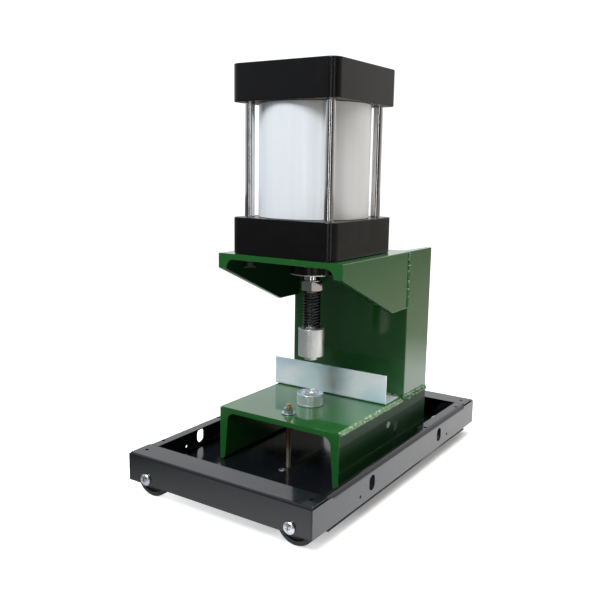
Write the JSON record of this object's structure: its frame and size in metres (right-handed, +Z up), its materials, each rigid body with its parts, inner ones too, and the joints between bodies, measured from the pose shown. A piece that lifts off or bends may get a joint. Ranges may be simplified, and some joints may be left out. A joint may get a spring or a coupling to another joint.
{
  "type": "rivet_punch_tool",
  "caption": "Bench rivet and eyelet press: a tie-rod air cylinder over a sprung punch and die on a green channel frame, in a black wheeled sheet-metal tray.",
  "frame": {"origin": "on the ground under the middle of the tray", "axes": "+Z up, +Y to the back of the press (the column), +X to the right as seen from the front"},
  "size_m": [0.268, 0.465, 0.5206],
  "materials": {
    "tray_black": "gloss",
    "frame_green": "gloss",
    "cap_black": "satin",
    "barrel_silver": "satin",
    "chrome": "polished",
    "zinc_hardware": "satin",
    "die_zinc": "satin",
    "turned_steel": "satin",
    "black_steel": "satin",
    "galvanised_sheet": "satin",
    "brass_tipped_stud": "satin",
    "bronze": "satin",
    "nitrile": "matte",
    "wheel_rubber": "matte",
    "piston_alloy": "satin"
  },
  "bodies": {
    "frame": {"front_rail": "tray_black", "rear_rail": "tray_black", "left_rail": "tray_black", "right_rail": "tray_black", "floor_pan": "tray_black", "base_channel": "frame_green", "column_channel": "frame_green", "head_channel": "frame_green", "hold_down_stud": "brass_tipped_stud", "hold_down_washer": "zinc_hardware", "hold_down_nut": "zinc_hardware", "hold_down_lower_nut": "zinc_hardware", "back_fence": "galvanised_sheet", "fence_screw_left": "zinc_hardware", "fence_screw_right": "zinc_hardware", "lower_die_cup": "die_zinc", "lower_die_anvil": "turned_steel", "lower_die_screw": "black_steel", "lower_cap": "cap_black", "upper_cap": "cap_black", "barrel": "barrel_silver", "barrel_seal_lower": "nitrile", "barrel_seal_upper": "nitrile", "rod_bush": "bronze", "rod_seal": "nitrile", "axle_bolt_front_left": "zinc_hardware", "axle_nut_front_left": "zinc_hardware", "axle_bolt_front_right": "zinc_hardware", "axle_nut_front_right": "zinc_hardware", "axle_bolt_rear_left": "zinc_hardware", "axle_nut_rear_left": "zinc_hardware", "axle_bolt_rear_right": "zinc_hardware", "axle_nut_rear_right": "zinc_hardware", "tie_rod_1": "chrome", "tie_rod_nut_1": "zinc_hardware", "mount_bolt_1": "black_steel", "tie_rod_2": "chrome", "tie_rod_nut_2": "zinc_hardware", "mount_bolt_2": "black_steel", "tie_rod_3": "chrome", "tie_rod_nut_3": "zinc_hardware", "mount_bolt_3": "black_steel", "tie_rod_4": "chrome", "tie_rod_nut_4": "zinc_hardware", "mount_bolt_4": "black_steel"},
    "ram": {"piston": "piston_alloy", "piston_seal_lower": "nitrile", "piston_seal_upper": "nitrile", "piston_rod": "chrome", "piston_nut": "zinc_hardware", "punch_lock_nut": "chrome", "punch": "turned_steel", "die_spring": "black_steel"},
    "sleeve": {"punch_sleeve": "turned_steel"},
    "wheel_front_left_body": {"wheel_front_left": "wheel_rubber"},
    "wheel_front_right_body": {"wheel_front_right": "wheel_rubber"},
    "wheel_rear_left_body": {"wheel_rear_left": "wheel_rubber"},
    "wheel_rear_right_body": {"wheel_rear_right": "wheel_rubber"}
  },
  "joints": [
    {"name": "ram_stroke", "type": "slide", "parent": "frame", "child": "ram", "axis": [0, 0, -1], "range_m": [0, 0.044]},
    {"name": "die_cushion", "type": "slide", "parent": "ram", "child": "sleeve", "axis": [0, 0, 1], "range_m": [0, 0.008], "stiffness_N_per_m": 2500, "springref_m": -0.004, "deforming": ["die_spring"]},
    {"name": "wheel_front_left_spin", "type": "hinge", "parent": "frame", "child": "wheel_front_left_body", "pos_m": [-0.1055, -0.2125, 0.025], "axis": [0, 1, 0], "continuous": true},
    {"name": "wheel_front_right_spin", "type": "hinge", "parent": "frame", "child": "wheel_front_right_body", "pos_m": [0.1055, -0.2125, 0.025], "axis": [0, 1, 0], "continuous": true},
    {"name": "wheel_rear_left_spin", "type": "hinge", "parent": "frame", "child": "wheel_rear_left_body", "pos_m": [-0.1055, 0.2125, 0.025], "axis": [0, 1, 0], "continuous": true},
    {"name": "wheel_rear_right_spin", "type": "hinge", "parent": "frame", "child": "wheel_rear_right_body", "pos_m": [0.1055, 0.2125, 0.025], "axis": [0, 1, 0], "continuous": true}
  ]
}
